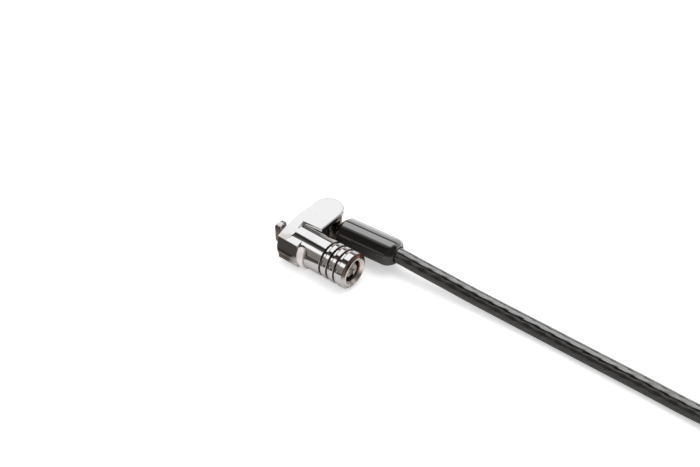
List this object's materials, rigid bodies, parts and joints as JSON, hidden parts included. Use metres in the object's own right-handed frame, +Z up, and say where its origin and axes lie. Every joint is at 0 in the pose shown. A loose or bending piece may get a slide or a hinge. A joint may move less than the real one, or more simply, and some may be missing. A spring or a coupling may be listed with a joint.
{
  "type": "laptop cable lock",
  "caption": "Keyed laptop security lock: chrome barrel with a quarter-turn T-bar nose and a hinged, swivelling black steel cable that ends in an anchor loop.",
  "frame": {"origin": "Centre of the lock head's footprint on the surface that it lies on: the head is the lock, its T-bar and the cable's sleeve, without the free cable.", "axes": "+X points out of the lock's key end along the barrel, +Y towards the hinged cable arm, +Z up from the surface."},
  "size_m": [0.2464, 0.0447, 0.0269],
  "materials": {
    "chrome": "polished chrome plate",
    "steel": "plain turned steel",
    "dark_steel": "blackened steel",
    "brass": "plain brass",
    "black_gloss": "glossy black moulding",
    "jacket": "black vinyl jacket over steel rope",
    "strap": "matt black strap"
  },
  "bodies": {
    "lock": {"housing": "chrome", "nose_bushing": "steel", "guide_pins": "steel", "retaining_clip": "chrome", "pin_block": "dark_steel", "block_pin": "steel", "pin_springs": "steel", "hinge_pin": "steel"},
    "core": {"key_core": "steel", "t_bar": "steel", "t_bar_pin": "steel", "spindle_clip": "dark_steel"},
    "key_pin_set": {"key_pins": "brass"},
    "driver_pin_set": {"driver_pins": "steel"},
    "arm": {"link": "dark_steel", "hinge_washers": "brass", "cable": "jacket", "cable_hank": "jacket", "hank_tie": "strap", "end_crimp": "steel", "end_loop": "jacket"},
    "sleeve": {"cable_sleeve": "black_gloss", "swivel_socket": "steel", "swivel_collar": "brass", "cable_ferrule": "steel", "cable_core": "steel"}
  },
  "joints": [
    {"name": "core_turn", "type": "hinge", "parent": "lock", "child": "core", "pos_m": [-0.01179, -0.00515, 0.00568], "axis": [1, 0, 0], "range_deg": [0, 90]},
    {"name": "key_pin_slide", "type": "slide", "parent": "core", "child": "key_pin_set", "axis": [1, 0, 0], "range_m": [0, 0.0008]},
    {"name": "driver_pin_slide", "type": "slide", "parent": "lock", "child": "driver_pin_set", "axis": [1, 0, 0], "range_m": [0, 0.0008]},
    {"name": "arm_swing", "type": "hinge", "parent": "lock", "child": "arm", "pos_m": [-0.00734, 0.0055, 0.00568], "axis": [0, 0, 1], "range_deg": [-4.4, 85]},
    {"name": "sleeve_swivel", "type": "hinge", "parent": "arm", "child": "sleeve", "pos_m": [-0.00036, 0.00603, 0.00568], "axis": [0.9971, 0.0767, 0], "continuous": true}
  ],
  "couplings": [
    {"joint": "driver_pin_slide", "follows": "key_pin_slide", "ratio": 1}
  ]
}
